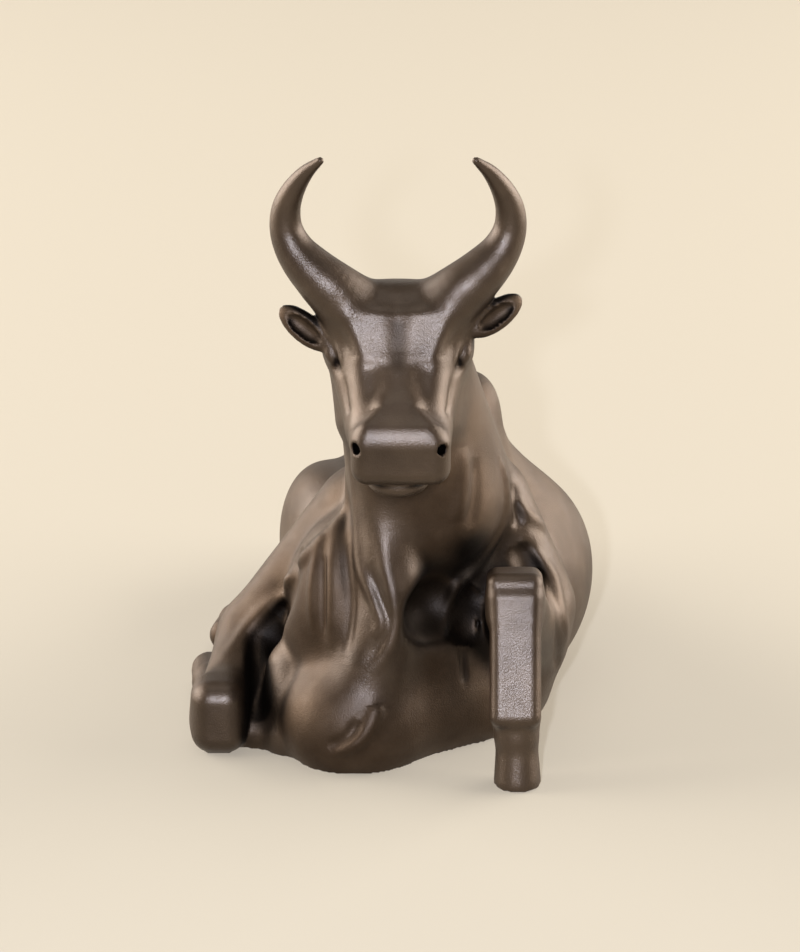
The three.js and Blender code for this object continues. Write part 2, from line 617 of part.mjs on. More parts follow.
// The surface with fewer triangles, made so by closing edges. Where shorterThan is given, every edge under
// that length closes. Otherwise the edge that changes the shape least goes first, until the wanted number
// of triangles is left: each vertex keeps the sum of its planes' squared distances, as ten numbers.
function simplified(surface, { shorterThan = 0, wanted = 0 }) {
  const p = Float64Array.from(surface.positions);
  const faces = Int32Array.from(surface.faces);
  const count = p.length / 3;
  const planes = new Float64Array(count * 10);
  const around = Array.from({ length: count }, () => []);
  const stamp = new Int32Array(count);
  const gone = new Uint8Array(faces.length / 3);
  let left = faces.length / 3;

  function normalOf(a, b, c) {
    const ux = b[0] - a[0];
    const uy = b[1] - a[1];
    const uz = b[2] - a[2];
    const vx = c[0] - a[0];
    const vy = c[1] - a[1];
    const vz = c[2] - a[2];
    return [uy * vz - uz * vy, uz * vx - ux * vz, ux * vy - uy * vx];
  }
  const at = (n) => [p[3 * n], p[3 * n + 1], p[3 * n + 2]];

  for (let f = 0; f < gone.length; f++) {
    const [a, b, c] = [faces[3 * f], faces[3 * f + 1], faces[3 * f + 2]];
    const n = normalOf(at(a), at(b), at(c));
    const area = Math.hypot(...n) || 1e-12;
    const [x, y, z] = n.map((v) => v / area);
    const d = -(x * p[3 * a] + y * p[3 * a + 1] + z * p[3 * a + 2]);
    const plane = [x * x, x * y, x * z, x * d, y * y, y * z, y * d, z * z, z * d, d * d];
    for (const v of [a, b, c]) {
      around[v].push(f);
      plane.forEach((value, i) => (planes[10 * v + i] += value * area));
    }
  }

  // The best place for the vertex that takes the place of the edge from a to b, and what it costs.
  function merged(a, b) {
    const middle = [0, 1, 2].map((i) => (p[3 * a + i] + p[3 * b + i]) / 2);
    if (shorterThan) {
      const [from, to] = [at(a), at(b)];
      return { cost: Math.hypot(from[0] - to[0], from[1] - to[1], from[2] - to[2]), spot: middle };
    }
    const q = new Float64Array(10);
    for (let i = 0; i < 10; i++) q[i] = planes[10 * a + i] + planes[10 * b + i];
    const weight = 1e-3 * (q[0] + q[4] + q[7]) + 1e-14;
    const A = [q[0] + weight, q[1], q[2], q[4] + weight, q[5], q[7] + weight];
    const B = [q[3], q[6], q[8]].map((v, i) => -v + weight * middle[i]);
    const c00 = A[3] * A[5] - A[4] * A[4];
    const c01 = A[2] * A[4] - A[1] * A[5];
    const c02 = A[1] * A[4] - A[2] * A[3];
    const det = A[0] * c00 + A[1] * c01 + A[2] * c02;
    let spot = middle;
    if (Math.abs(det) > 1e-30) {
      const c11 = A[0] * A[5] - A[2] * A[2];
      const c12 = A[1] * A[2] - A[0] * A[4];
      const c22 = A[0] * A[3] - A[1] * A[1];
      spot = [
        (c00 * B[0] + c01 * B[1] + c02 * B[2]) / det,
        (c01 * B[0] + c11 * B[1] + c12 * B[2]) / det,
        (c02 * B[0] + c12 * B[1] + c22 * B[2]) / det,
      ];
    }
    const [x, y, z] = spot;
    const error =
      q[0] * x * x + 2 * q[1] * x * y + 2 * q[2] * x * z + 2 * q[3] * x + q[4] * y * y +
      2 * q[5] * y * z + 2 * q[6] * y + q[7] * z * z + 2 * q[8] * z + q[9];
    const off = (x - middle[0]) ** 2 + (y - middle[1]) ** 2 + (z - middle[2]) ** 2;
    return { cost: Math.max(error, 0) + weight * off, spot };
  }

  const heap = [];
  function push(item) {
    let n = heap.length;
    heap.push(item);
    while (n > 0) {
      const parent = (n - 1) >> 1;
      if (heap[parent].cost <= item.cost) break;
      heap[n] = heap[parent];
      n = parent;
    }
    heap[n] = item;
  }
  function pop() {
    const top = heap[0];
    const item = heap.pop();
    let n = 0;
    while (heap.length && 2 * n + 1 < heap.length) {
      let child = 2 * n + 1;
      if (child + 1 < heap.length && heap[child + 1].cost < heap[child].cost) child++;
      if (heap[child].cost >= item.cost) break;
      heap[n] = heap[child];
      n = child;
    }
    if (heap.length) heap[n] = item;
    return top;
  }
  function consider(a, b) {
    push({ ...merged(a, b), a, b, stampA: stamp[a], stampB: stamp[b] });
  }
  const live = (v) => around[v].filter((f) => !gone[f]);
  const neighbours = (list, v) => {
    const found = new Set();
    for (const f of list) {
      for (let i = 0; i < 3; i++) if (faces[3 * f + i] !== v) found.add(faces[3 * f + i]);
    }
    return found;
  };
  // How far a triangle is from a needle: its height as a share of its longest side.
  function fullness(corners, doubleArea) {
    let longest = 0;
    for (let i = 0; i < 3; i++) {
      const [u, w] = [corners[i], corners[(i + 1) % 3]];
      longest = Math.max(longest, (u[0] - w[0]) ** 2 + (u[1] - w[1]) ** 2 + (u[2] - w[2]) ** 2);
    }
    return doubleArea / longest;
  }
  // Whether moving v to the spot turns a face over or makes it a needle.
  function harms(list, v, other, spot) {
    for (const f of list) {
      const ring = [faces[3 * f], faces[3 * f + 1], faces[3 * f + 2]];
      if (ring.includes(other)) continue;
      const before = ring.map(at);
      const after = ring.map((n) => (n === v ? spot : at(n)));
      const old = normalOf(...before);
      const now = normalOf(...after);
      const dot = old[0] * now[0] + old[1] * now[1] + old[2] * now[2];
      const oldArea = Math.hypot(...old);
      const area = Math.hypot(...now);
      if (dot < 0.2 * oldArea * area) return true;
      const full = fullness(after, area);
      if (full < 0.08 && full < fullness(before, oldArea)) return true;
    }
    return false;
  }

  for (let f = 0; f < gone.length; f++) {
    for (let i = 0; i < 3; i++) {
      const a = faces[3 * f + i];
      const b = faces[3 * f + ((i + 1) % 3)];
      if (a < b) consider(a, b);
    }
  }
  while (left > wanted && heap.length) {
    if (shorterThan && heap[0].cost > shorterThan) break;
    const { a, b, spot, stampA, stampB } = pop();
    if (stamp[a] !== stampA || stamp[b] !== stampB) continue;
    const facesA = live(a);
    const facesB = live(b);
    const nearA = neighbours(facesA, a);
    const nearB = neighbours(facesB, b);
    const shared = [...nearA].filter((v) => nearB.has(v));
    if (!nearA.has(b) || shared.length !== 2) continue;
    if (!shorterThan && (harms(facesA, a, b, spot) || harms(facesB, b, a, spot))) continue;
    for (const f of facesB) {
      const ring = [faces[3 * f], faces[3 * f + 1], faces[3 * f + 2]];
      if (ring.includes(a)) {
        gone[f] = 1;
        left--;
      } else {
        faces[3 * f + ring.indexOf(b)] = a;
        facesA.push(f);
      }
    }
    around[a] = facesA.filter((f) => !gone[f]);
    around[b] = [];
    spot.forEach((v, i) => (p[3 * a + i] = v));
    for (let i = 0; i < 10; i++) planes[10 * a + i] += planes[10 * b + i];
    stamp[b] = -1;
    stamp[a]++;
    for (const v of neighbours(around[a], a)) {
      consider(Math.min(a, v), Math.max(a, v));
    }
  }
  const kept = [];
  for (let f = 0; f < gone.length; f++) {
    if (!gone[f]) kept.push(faces[3 * f], faces[3 * f + 1], faces[3 * f + 2]);
  }
  return { positions: p, faces: kept };
}

function solidOf(geometry) {
  const bare = geometry.clone();
  bare.deleteAttribute("normal");
  bare.deleteAttribute("uv");
  const merged = mergeVertices(bare, 1e-4);
  return new wasm.Manifold(
    new wasm.Mesh({
      numProp: 3,
      vertProperties: Float32Array.from(merged.attributes.position.array),
      triVerts: Uint32Array.from(merged.index.array),
    }),
  );
}

// The surface in millimetres, about the origin. No vertex lies so near the ground that the cut there leaves
// a needle.
function geometryOf(surface) {
  const clear = 0.004;
  const position = Array.from(surface.positions, (v, i) => {
    const level = i % 3 === 2 && Math.abs(v) < clear ? (v < 0 ? -clear : clear) : v;
    return (level - ORIGIN[i % 3]) * FIGURE_HEIGHT;
  });
  const geometry = new THREE.BufferGeometry();
  geometry.setAttribute("position", new THREE.Float32BufferAttribute(position, 3));
  geometry.setIndex(surface.faces);
  return geometry;
}

// The animal cut off level with the ground, so that it stands on a true flat.
function standing(solid) {
  const earth = new THREE.BoxGeometry(4 * FIGURE_HEIGHT, 4 * FIGURE_HEIGHT, FIGURE_HEIGHT);
  earth.translate(0, 0, -FIGURE_HEIGHT / 2);
  const cut = solid.subtract(solidOf(earth)).getMesh();
  const geometry = new THREE.BufferGeometry();
  geometry.setAttribute("position", new THREE.Float32BufferAttribute(Array.from(cut.vertProperties), 3));
  geometry.setIndex(Array.from(cut.triVerts));
  geometry.computeVertexNormals();
  return geometry;
}

const cell = SURFACE_CELL / FIGURE_HEIGHT;
const animal = above(bull(), -2.5 * cell);
const rough = simplified(traced(sampled(animal, cell)), { shorterThan: 0.5 * cell });
const surface = simplified(evened(rough, animal, 3), { wanted: FACETS });
const bronze = new THREE.MeshStandardMaterial({ color: 0x4c3a2c, roughness: 0.35, metalness: 0.6 });
const figure = new THREE.Mesh(standing(solidOf(geometryOf(surface))), bronze);
figure.name = "bull";

const nandi = new THREE.Group();
nandi.add(figure);

export default nandi;
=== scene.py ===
import math

import bpy
import numpy as np
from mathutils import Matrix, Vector


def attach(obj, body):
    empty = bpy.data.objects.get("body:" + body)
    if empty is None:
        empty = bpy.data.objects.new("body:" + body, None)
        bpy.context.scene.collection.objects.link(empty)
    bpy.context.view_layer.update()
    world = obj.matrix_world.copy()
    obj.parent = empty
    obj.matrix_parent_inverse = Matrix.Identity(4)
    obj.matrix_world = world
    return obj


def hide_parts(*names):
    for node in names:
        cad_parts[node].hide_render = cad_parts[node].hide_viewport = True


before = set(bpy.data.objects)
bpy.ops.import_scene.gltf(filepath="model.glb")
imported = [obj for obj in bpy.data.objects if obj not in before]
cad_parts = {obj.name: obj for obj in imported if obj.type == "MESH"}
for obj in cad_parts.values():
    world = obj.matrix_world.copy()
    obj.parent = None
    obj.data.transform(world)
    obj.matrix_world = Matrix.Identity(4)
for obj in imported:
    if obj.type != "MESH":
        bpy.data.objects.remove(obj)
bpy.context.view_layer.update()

# The trunk. The bull is one hollow casting in dark patinated bronze, cast from wax: the ribs, the hump, the
# spine, the hips and the rump flow into each other without a seam. Every place, radius and fillet here is a
# share of the figure's height, until the skin is made.
HEIGHT = 0.200
ORIGIN = np.array((0.100, 0.550, 0.000))
HUMP_RISE = 0.088
RIB_HALF_WIDTH = 0.203
WIDE_FILLET = 0.08
BODY_FILLET = 0.05
FAR = 1e9


class Form:
    """A solid: a function that gives its distance at many points at once, and the corners of its box."""

    def __init__(self, distance, low, high):
        self.distance = distance
        self.low = np.array(low, float)
        self.high = np.array(high, float)

    def box_distance(self, p):
        """How far each point is outside the box."""
        off = np.maximum(np.maximum(self.low - p, p - self.high), 0)
        return np.sqrt((off * off).sum(1))


def turned(turn):
    """The axes of a form that is turned about X, then Y, then Z, in degrees."""
    rx, ry, rz = np.radians(turn)
    about_x = np.array([[1, 0, 0], [0, np.cos(rx), -np.sin(rx)], [0, np.sin(rx), np.cos(rx)]])
    about_y = np.array([[np.cos(ry), 0, np.sin(ry)], [0, 1, 0], [-np.sin(ry), 0, np.cos(ry)]])
    about_z = np.array([[np.cos(rz), -np.sin(rz), 0], [np.sin(rz), np.cos(rz), 0], [0, 0, 1]])
    return about_z @ about_y @ about_x


def egg(centre, radii, turn):
    """An ellipsoid, whose distance is true close to its surface."""
    centre, radii, axes = np.array(centre, float), np.array(radii, float), turned(turn)

    def distance(p):
        q = (p - centre) @ axes
        near = np.sqrt(((q / radii) ** 2).sum(1))
        steep = np.sqrt(((q / radii ** 2) ** 2).sum(1))
        return near * (near - 1) / np.maximum(steep, 1e-9)

    reach = np.sqrt(((axes * radii) ** 2).sum(1))
    return Form(distance, centre - reach, centre + reach)


def limb(a, b, start_radius, end_radius):
    """A bar with round ends, of one radius at its start and another at its end."""
    a, b = np.array(a, float), np.array(b, float)
    length = np.sqrt((b - a) @ (b - a))
    along = (b - a) / length
    lean = (start_radius - end_radius) / length
    rise = np.sqrt(max(1 - lean * lean, 0))

    def distance(p):
        q = p - a
        up = q @ along
        out = np.sqrt(np.maximum((q * q).sum(1) - up * up, 0))
        beside = up * rise - out * lean
        start = np.sqrt(out * out + up * up) - start_radius
        end = np.sqrt(out * out + (up - length) ** 2) - end_radius
        side = out * rise + up * lean - start_radius
        return np.where(beside < 0, start, np.where(beside > rise * length, end, side))

    low = np.minimum(a - start_radius, b - end_radius)
    high = np.maximum(a + start_radius, b + end_radius)
    return Form(distance, low, high)


def spline(points, steps):
    """A smooth curve through the points, with every number that a point carries."""
    points = np.array(points, float)
    points = np.vstack([2 * points[0] - points[1], points, 2 * points[-1] - points[-2]])
    curve = []
    for i in range(1, len(points) - 2):
        a, b, c, d = points[i - 1:i + 3]
        for t in np.arange(steps) / steps:
            bend = (2 * a - 5 * b + 4 * c - d) * t ** 2 + (3 * b - a - 3 * c + d) * t ** 3
            curve.append(0.5 * (2 * b + (c - a) * t + bend))
    curve.append(points[-2])
    return np.array(curve)


def tube(points, steps):
    """A round bar along a smooth curve; each point is x, y, z and the radius there."""
    line = spline(points, steps)
    pieces = [limb(u[:3], v[:3], u[3], v[3]) for u, v in zip(line, line[1:])]

    def distance(p):
        d = np.full(len(p), FAR)
        for piece in pieces:
            near = piece.box_distance(p) <= np.maximum(d, 0)
            d[near] = np.minimum(d[near], piece.distance(p[near]))
        return d

    return Form(distance, np.min([f.low for f in pieces], 0), np.max([f.high for f in pieces], 0))


def soft_min(a, b, fillet):
    """The smaller of two distances, eased where they differ by less than the fillet."""
    close = np.maximum(fillet - np.abs(a - b), 0) / fillet
    return np.minimum(a, b) - close * close * close * fillet / 6


def merge(fillet, *forms):
    """Forms grown together, with a fillet about that wide."""
    def distance(p):
        d = forms[0].distance(p)
        for form in forms[1:]:
            near = form.box_distance(p) < np.maximum(d, 0) + fillet
            d[near] = soft_min(d[near], form.distance(p[near]), fillet)
        return d

    low, high = np.min([f.low for f in forms], 0), np.max([f.high for f in forms], 0)
    return Form(distance, low - fillet / 6, high + fillet / 6)


# It lies in a shallow curve, with the withers to its left and the rump back in the middle.
ribs = egg((0.114, 0.560, 0.165), (RIB_HALF_WIDTH, 0.330, 0.200), (-9, 0, -6))
shoulders = egg((0.040, 0.400, 0.240), (0.170, 0.165, 0.235), (0, 0, 0))
withers = limb((0.095, 0.470, 0.395), (0.170, 0.590, 0.210), 0.088, 0.130)
rump = egg((0.005, 0.930, 0.080), (0.175, 0.230, 0.205), (0, 0, 18))
spine = tube([(0.090, 0.480, 0.430, 0.035), (0.105, 0.600, 0.345, 0.030), (0.085, 0.740, 0.300, 0.030),
              (0.050, 0.880, 0.278, 0.030), (0.015, 1.020, 0.245, 0.028), (0.000, 1.110, 0.185, 0.024)], 4)
right_haunch = egg((-0.092, 0.890, 0.070), (0.108, 0.220, 0.190), (0, -10, 14))
left_haunch = egg((0.085, 0.930, 0.075), (0.105, 0.200, 0.165), (0, 10, 10))
trunk = merge(BODY_FILLET, merge(WIDE_FILLET, ribs, shoulders, withers, rump), spine)
trunk = merge(0.04, trunk, right_haunch, left_haunch)
for x in (-0.070, 0.140):
    hip_bone = egg((x, 0.820, 0.235), (0.026, 0.036, 0.026), (0, 0, 0))
    trunk = merge(BODY_FILLET, trunk, hip_bone)
hump = egg((0.098, 0.430, 0.480), (0.062, 0.085, HUMP_RISE), (-16, 16, 0))
trunk = merge(WIDE_FILLET, trunk, hump)


# The thick neck, the chest and the brisket that rests on the ground, with the dewlap down their front. They
# are part of the same casting; the hollow beside the raised leg was scooped out of the wax.
def carve(fillet, body, tool):
    """A form with a tool's shape taken out of it, its rim softened over the fillet."""
    def distance(p):
        d = body.distance(p)
        near = tool.box_distance(p) < fillet - d
        d[near] = -soft_min(-d[near], tool.distance(p[near]), fillet)
        return d

    return Form(distance, body.low, body.high)


def block(centre, half, rounding, turn, taper):
    """A rounded block; with a taper its top is that share wider than its middle, and its foot narrower."""
    centre, half, axes = np.array(centre, float), np.array(half, float), turned(turn)

    def distance(p):
        q = (p - centre) @ axes
        widen = half[0] * taper * np.clip(q[:, 2] / half[2], -1, 1)
        q = np.abs(q) - half
        q[:, 0] -= widen
        outside = np.sqrt((np.maximum(q, 0) ** 2).sum(1))
        return outside + np.minimum(q.max(1), 0) - rounding

    reach = (np.abs(axes) * half * (1 + abs(taper), 1, 1)).sum(1) + rounding
    return Form(distance, centre - reach, centre + reach)


neck = limb((0.050, 0.330, 0.420), (0.010, 0.235, 0.640), 0.125, 0.100)
throat = limb((0.040, 0.270, 0.400), (0.000, 0.210, 0.540), 0.120, 0.090)
chest = egg((-0.020, 0.290, 0.160), (0.165, 0.150, 0.240), (12, -14, 0))
brisket = egg((-0.070, 0.190, 0.060), (0.120, 0.110, 0.110), (0, 0, 20))
keel = limb((0.100, 0.300, 0.070), (-0.060, 0.180, 0.060), 0.100, 0.080)
dewlap = tube([(-0.020, 0.188, 0.490, 0.042), (-0.026, 0.188, 0.420, 0.044),
               (-0.018, 0.172, 0.340, 0.048), (-0.010, 0.158, 0.270, 0.052),
               (-0.034, 0.160, 0.180, 0.060), (-0.060, 0.166, 0.090, 0.070)], 4)
flank = limb((-0.168, 0.262, 0.118), (-0.168, 0.220, 0.022), 0.047, 0.056)
front = merge(BODY_FILLET, neck, throat, chest, brisket, keel, dewlap)
recess = egg((0.062, 0.150, 0.256), (0.058, 0.072, 0.050), (0, 0, 0))
front = carve(0.045, merge(0.03, front, flank), recess)


# The legs. The left foreleg stands on its hoof with the knee raised and a flat front to the shin; the right
# one is folded so that it rests on the knee, and the hind leg that shows is folded against the right flank.
SHIN_HALF_WIDTH = 0.040
SHIN_FLAT_SHARE = 0.6
HOOF_RADIUS = 0.037
KNEE_HALF_WIDTH = 0.044
KNEE_FLAT_SHARE = 0.25
LEG_FILLET = 0.03
HOOF_FILLET = 0.015
flat = SHIN_HALF_WIDTH * SHIN_FLAT_SHARE
forearm = limb((0.200, 0.330, 0.140), (0.184, 0.150, 0.275), 0.072, 0.042)
shin = block((0.181, 0.076, 0.205), (flat, 0.020, 0.092), SHIN_HALF_WIDTH - flat, (-17, 0, 0), 0)
raised_knee = block((0.180, 0.115, 0.292), (flat + 0.003, 0.022, 0.026), 0.017, (-8, 0, 0), 0)
fetlock = egg((0.183, 0.056, 0.090), (0.035, 0.036, 0.036), (0, 0, 0))
raised_leg = merge(LEG_FILLET, merge(0.025, shin, raised_knee, fetlock), forearm)
hoof = limb((0.184, 0.056, 0.070), (0.185, 0.050, 0.010), HOOF_RADIUS * 0.88, HOOF_RADIUS)
upper_arm = limb((0.150, 0.350, 0.380), (0.210, 0.340, 0.200), 0.060, 0.075)
elbow = egg((0.188, 0.350, 0.075), (0.062, 0.085, 0.085), (0, 0, 0))
raised_leg = merge(BODY_FILLET, merge(0.02, raised_leg, hoof), upper_arm, elbow)

forearm = limb((-0.235, 0.400, 0.110), (-0.284, 0.225, 0.070), 0.066, 0.044)
knee = block((-0.291, 0.212, 0.060), (KNEE_HALF_WIDTH * KNEE_FLAT_SHARE, 0.013, 0.028),
             KNEE_HALF_WIDTH * (1 - KNEE_FLAT_SHARE), (0, 0, 0), 0)
shin = limb((-0.296, 0.230, 0.040), (-0.310, 0.420, 0.035), 0.038, 0.030)
hoof = limb((-0.312, 0.430, 0.030), (-0.318, 0.490, 0.030), 0.032, 0.030)
upper_arm = limb((-0.060, 0.360, 0.350), (-0.226, 0.395, 0.140), 0.078, 0.062)
web = limb((-0.215, 0.330, 0.060), (-0.232, 0.240, 0.028), 0.055, 0.045)
folded_leg = merge(HOOF_FILLET, merge(LEG_FILLET, forearm, knee, shin), hoof)
folded_leg = merge(HOOF_FILLET, merge(BODY_FILLET, folded_leg, upper_arm), web)

thigh = limb((-0.100, 0.930, 0.100), (-0.182, 0.730, 0.050), 0.090, 0.062)
shank = limb((-0.185, 0.720, 0.045), (-0.175, 0.960, 0.045), 0.050, 0.040)
shin = limb((-0.185, 0.960, 0.036), (-0.282, 0.740, 0.030), 0.034, 0.027)
hoof = limb((-0.284, 0.730, 0.026), (-0.296, 0.665, 0.028), 0.029, 0.029)
hind_leg = merge(HOOF_FILLET, merge(LEG_FILLET, thigh, shank, shin), hoof)


# The tail falls from the rump to the ground and curls round the right haunch to a tuft. It lies against the
# body all the way, so it is cast with it.
TAIL_RADIUS = 0.014
tail = tube([(0.000, 1.100, 0.190, TAIL_RADIUS + 0.008), (0.012, 1.152, 0.120, TAIL_RADIUS + 0.003),
             (0.010, 1.166, 0.055, TAIL_RADIUS), (-0.030, 1.170, 0.022, TAIL_RADIUS),
             (-0.090, 1.150, 0.018, TAIL_RADIUS + 0.002), (-0.150, 1.105, 0.020, TAIL_RADIUS + 0.008),
             (-0.200, 1.050, 0.018, TAIL_RADIUS + 0.004), (-0.228, 1.005, 0.012, TAIL_RADIUS / 2)], 4)


# The head: its flat forehead, the nasal bone, a square muzzle, and two horns that swing out, up and in
# again. It is cast in one with the neck, and what joins its bones was smoothed in the wax.
HEAD_MIDDLE = -0.003
HEAD_HALF_WIDTH = 0.114
HORN_BASE_RADIUS = 0.042
HORN_HALF_SPREAD = 0.173
EAR_THICKNESS = 0.026


def place(side, x, y, z):
    """A place on the head, x away from its middle, on the bull's right (-1) or its left (1)."""
    return (HEAD_MIDDLE + side * x, y, z)


def horn(side):
    """One horn, from its root inside the skull to its tip."""
    root, out = HORN_BASE_RADIUS, HORN_HALF_SPREAD
    rings = [(0.000, 0.190, 0.738, root * 0.60), (0.050, 0.186, 0.751, root * 0.76),
             (0.098, 0.169, 0.778, root), (0.130, 0.172, 0.805, root * 0.90),
             (out - 0.016, 0.178, 0.835, root * 0.74), (out - 0.001, 0.180, 0.868, root * 0.62),
             (out, 0.174, 0.903, root * 0.54), (out - 0.011, 0.160, 0.937, root * 0.43),
             (out - 0.031, 0.142, 0.970, root * 0.29), (out - 0.054, 0.124, 0.994, 0.006)]
    return tube([(*place(side, x, y, z), radius) for x, y, z, radius in rings], 6)


def ear(side, form, x, z, length, lean):
    """The form with one ear set on it: a leaf, and the cup hollowed out of its front."""
    turn = (-14, -side * lean, side * 20)
    leaf = egg(place(side, x, 0.1685, z), (length * 0.56, EAR_THICKNESS / 2, 0.023), turn)
    cup = egg(place(side, x + 0.002, 0.1555, z + 0.002), (length * 0.40, EAR_THICKNESS / 2, 0.0140), turn)
    return carve(0.005, merge(0.014, form, leaf), cup)


skull = egg((HEAD_MIDDLE, 0.208, 0.692), (HEAD_HALF_WIDTH, 0.090, 0.088), (0, 0, 0))
forehead = block((HEAD_MIDDLE, 0.152, 0.705), (0.060, 0.022, 0.030), 0.020, (-19, 0, 0), 0.20)
nasal_bone = limb((HEAD_MIDDLE, 0.156, 0.702), (HEAD_MIDDLE, 0.0915, 0.616), 0.036, 0.036)
muzzle = block((HEAD_MIDDLE + 0.004, 0.0655, 0.552), (0.050, 0.024, 0.020), 0.027, (8, 0, 0), 0)
chin = egg((HEAD_MIDDLE, 0.102, 0.499), (0.052, 0.060, 0.030), (8, 0, 0))
nose = block((HEAD_MIDDLE, 0.0585, 0.593), (0.031, 0.014, 0.016), 0.016, (-45, 0, 0), -0.4)
poll = egg((HEAD_MIDDLE, 0.190, 0.708), (0.105, 0.072, 0.072), (0, 0, 0))
face = block((HEAD_MIDDLE, 0.136, 0.6155), (0.046, 0.030, 0.050), 0.032, (-34, 0, 0), 0.12)
head = merge(0.034, merge(0.030, merge(0.020, skull, poll, face, forehead), nasal_bone), nose, muzzle)
for side in (-1, 1):
    temple = limb(place(side, 0.080, 0.175, 0.745), place(side, 0.080, 0.170, 0.680), 0.040, 0.034)
    jaw = limb(place(side, 0.058, 0.205, 0.670), place(side, 0.048, 0.180, 0.570), 0.052, 0.050)
    cheek = limb(place(side, 0.076, 0.172, 0.680), place(side, 0.050, 0.112, 0.575), 0.032, 0.030)
    head = merge(0.03, head, temple, jaw, cheek)
head = merge(0.046, merge(0.010, head, chin), merge(0.002, horn(-1), horn(1)))

whole = merge(0.035, merge(0.04, trunk, front), raised_leg, folded_leg)
whole = merge(0.016, merge(0.025, whole, hind_leg), tail)
whole = merge(0.035, whole, head)


# The skin's folds on the dewlap, the chest, the neck and both upper arms. Each is a ridge, or a groove
# where its height is below 0, modelled in the wax along a curve that lies on the body.
IN_FRONT = 0
BEHIND_SHIN = 0.22
PROBE = 1e-4
STROKE_REACH = 2.4
END_SHARE = 0.15
MARGIN = 0.01


def step_to(form, p):
    """The step past the form's surface at each point: the point minus its step lies on the form."""
    slope = np.empty_like(p)
    for axis in range(3):
        shift = np.zeros(3)
        shift[axis] = PROBE
        slope[:, axis] = (form.distance(p + shift) - form.distance(p - shift)) / (2 * PROBE)
    return slope * (form.distance(p) / np.maximum((slope * slope).sum(1), 1e-6))[:, None]


def stroke(form, points, height):
    """A ridge along the points, each x, y, z and the width there; its height fades towards both ends."""
    line = spline(points, 6)
    for _ in range(4):
        line[:, :3] -= step_to(form, line[:, :3])
    reach = STROKE_REACH * line[:, 3].max()
    low, high = line[:, :3].min(0) - reach, line[:, :3].max(0) + reach
    ends = np.linspace(0, 1, len(line))
    strength = height * np.minimum(1, np.minimum(ends, 1 - ends) * 4 + END_SHARE)

    def rise(p):
        out = np.zeros(len(p))
        near = ((p > low) & (p < high)).all(1)
        q = p[near]
        best, power = np.full(len(q), FAR), np.zeros(len(q))
        for u, v, start, end in zip(line, line[1:], strength, strength[1:]):
            along = v[:3] - u[:3]
            t = np.clip(((q - u[:3]) @ along) / max(along @ along, 1e-12), 0, 1)
            width = u[3] + (v[3] - u[3]) * t
            off = ((q - u[:3] - t[:, None] * along) ** 2).sum(1) / width ** 2
            closer = off < best
            best[closer] = off[closer]
            power[closer] = (start + (end - start) * t)[closer]
        out[near] = power * np.exp(-best)
        return out

    return rise


def fold(form, start, height, width, *points):
    """A stroke of one width through x and z points, laid where the form is first met from y = start."""
    line = []
    for x, z in points:
        y = start
        # Each step is most of the distance, so that the point stops just outside the form.
        for _ in range(60):
            d = form.distance(np.array([[x, y, z]]))[0]
            if d < PROBE:
                break
            y += d * 0.8
        line.append((x, y, z, width))
    return stroke(form, line, height)


def drawn(form, strokes):
    """The form with the strokes raised on it, or sunk into it."""
    def distance(p):
        return form.distance(p) - sum(rise(p) for rise in strokes)

    return Form(distance, form.low - MARGIN, form.high + MARGIN)


dewlap_folds = [
    fold(whole, IN_FRONT, -0.005, 0.012, (-0.042, 0.350), (-0.034, 0.300), (-0.020, 0.256), (-0.034, 0.213),
         (-0.056, 0.178)),
    fold(whole, IN_FRONT, 0.007, 0.010, (-0.079, 0.475), (-0.066, 0.347), (-0.040, 0.283), (-0.029, 0.250),
         (-0.042, 0.224)),
    fold(whole, IN_FRONT, 0.006, 0.014, (-0.028, 0.392), (-0.022, 0.340), (-0.011, 0.296), (-0.008, 0.250),
         (-0.020, 0.210), (-0.049, 0.170)),
    fold(whole, IN_FRONT, 0.012, 0.012, (-0.044, 0.121), (-0.040, 0.103), (-0.060, 0.070), (-0.105, 0.040)),
    fold(whole, IN_FRONT, -0.008, 0.010, (-0.064, 0.098), (-0.082, 0.068), (-0.115, 0.050)),
]
right_folds = [
    fold(whole, IN_FRONT, 0.007, 0.012, (-0.087, 0.457), (-0.098, 0.377), (-0.106, 0.281), (-0.110, 0.190)),
    fold(whole, IN_FRONT, 0.006, 0.009, (-0.118, 0.360), (-0.131, 0.335), (-0.138, 0.212)),
    fold(whole, IN_FRONT, -0.008, 0.006, (-0.118, 0.335), (-0.121, 0.281), (-0.120, 0.212)),
    fold(whole, IN_FRONT, -0.007, 0.010, (-0.082, 0.360), (-0.078, 0.270), (-0.086, 0.190)),
    fold(whole, IN_FRONT, -0.022, 0.025, (-0.158, 0.327), (-0.182, 0.253), (-0.205, 0.190)),
    fold(whole, IN_FRONT, 0.010, 0.013, (-0.092, 0.382), (-0.140, 0.335), (-0.185, 0.256), (-0.236, 0.175),
         (-0.282, 0.135)),
    fold(whole, IN_FRONT, -0.014, 0.012, (-0.236, 0.150), (-0.232, 0.100), (-0.232, 0.050)),
]
